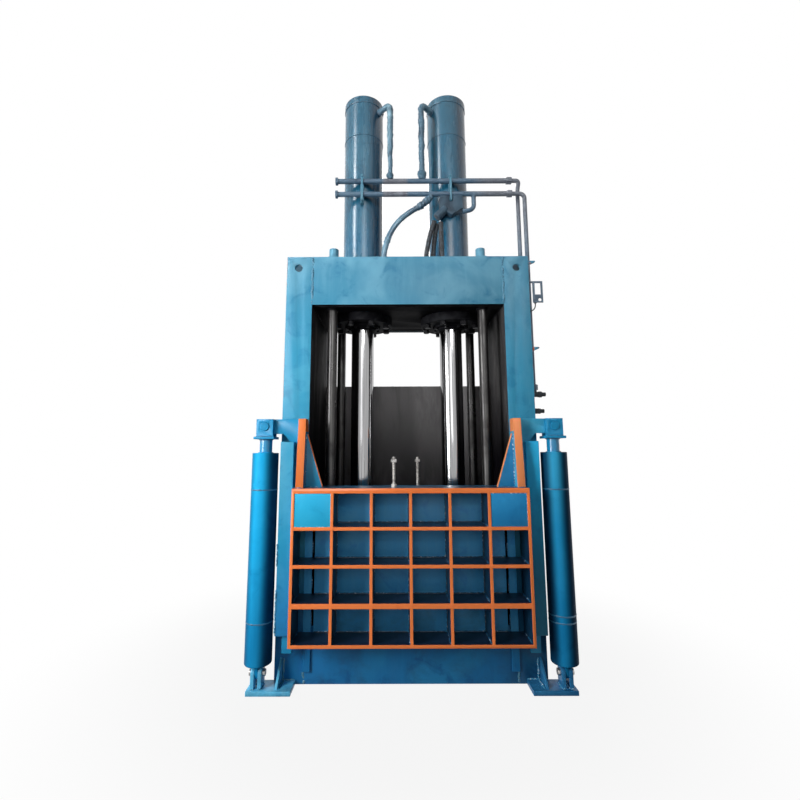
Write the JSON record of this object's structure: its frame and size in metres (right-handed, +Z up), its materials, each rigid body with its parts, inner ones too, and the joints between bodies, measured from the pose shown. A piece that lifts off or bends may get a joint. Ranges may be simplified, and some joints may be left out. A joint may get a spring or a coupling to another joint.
{
  "type": "recycling baler",
  "caption": "Vertical hydraulic baler with press cylinders on a portal frame, a guided pressing plate, and a ribbed front gate that side cylinders lift.",
  "frame": {"origin": "on the floor, under the middle of the machine", "axes": "+Z up, +X to the right of someone facing the gate, the gate on the -Y side"},
  "size_m": [1.788, 1.05, 3.755],
  "materials": {
    "blue_paint": "semi-gloss machine enamel over welded steel plate",
    "gate_paint": "semi-gloss blue enamel, the front edges of the ribs and brackets brushed orange",
    "dark_paint": "dark oily paint",
    "dark_steel": "dark greased steel",
    "bright_steel": "zinc-plated fasteners",
    "chrome": "hard-chromed and polished rod",
    "black_rubber": "matt hose cover"
  },
  "bodies": {
    "press_frame": {"back_ribs": "blue_paint", "back_wall": "blue_paint", "chamber_floor": "blue_paint", "column_pegs": "blue_paint", "crosshead": "blue_paint", "cylinder_foot_left": "blue_paint", "cylinder_foot_right": "blue_paint", "downpipe_lower": "blue_paint", "downpipe_upper": "blue_paint", "flange_bolts": "bright_steel", "foot_pins": "bright_steel", "front_column_left": "blue_paint", "front_column_right": "blue_paint", "front_sill": "blue_paint", "gland_bolts": "bright_steel", "guide_bushes": "blue_paint", "guide_rail_left": "blue_paint", "guide_rail_right": "blue_paint", "header_lower": "blue_paint", "header_upper": "blue_paint", "hose_blue": "blue_paint", "hose_sockets": "bright_steel", "hoses_black": "black_rubber", "lift_cylinder_left": "blue_paint", "lift_cylinder_right": "blue_paint", "limit_sensor": "black_rubber", "pipe_clamps": "blue_paint", "press_cylinder_left": "blue_paint", "press_cylinder_right": "blue_paint", "rear_columns": "blue_paint", "rear_sill": "blue_paint", "rod_glands": "dark_paint", "side_ribs_left": "blue_paint", "side_ribs_right": "blue_paint", "side_wall_left": "blue_paint", "side_wall_right": "blue_paint", "switch_bracket": "blue_paint", "valve_block": "dark_paint", "wear_strips": "blue_paint"},
    "press_ram": {"platen": "dark_steel", "piston_rod_left": "chrome", "piston_rod_right": "chrome", "guide_rods": "dark_steel", "platen_stud": "bright_steel"},
    "gate": {"gate_grid": "gate_paint", "gate_sheet": "gate_paint", "gate_corner_plates": "gate_paint", "gate_stud": "bright_steel", "gate_tongues": "gate_paint", "lift_bracket_left": "gate_paint", "lift_bracket_right": "gate_paint", "rod_clevis_left": "gate_paint", "rod_clevis_right": "gate_paint", "clevis_pins": "gate_paint", "lift_rod_left": "gate_paint", "lift_rod_right": "gate_paint"}
  },
  "joints": [
    {"name": "press_stroke", "type": "slide", "parent": "press_frame", "child": "press_ram", "axis": [0, 0, 1], "range_m": [-0.09, 0.9]},
    {"name": "gate_lift", "type": "slide", "parent": "press_frame", "child": "gate", "axis": [0, 0, 1], "range_m": [0, 0.8]}
  ]
}
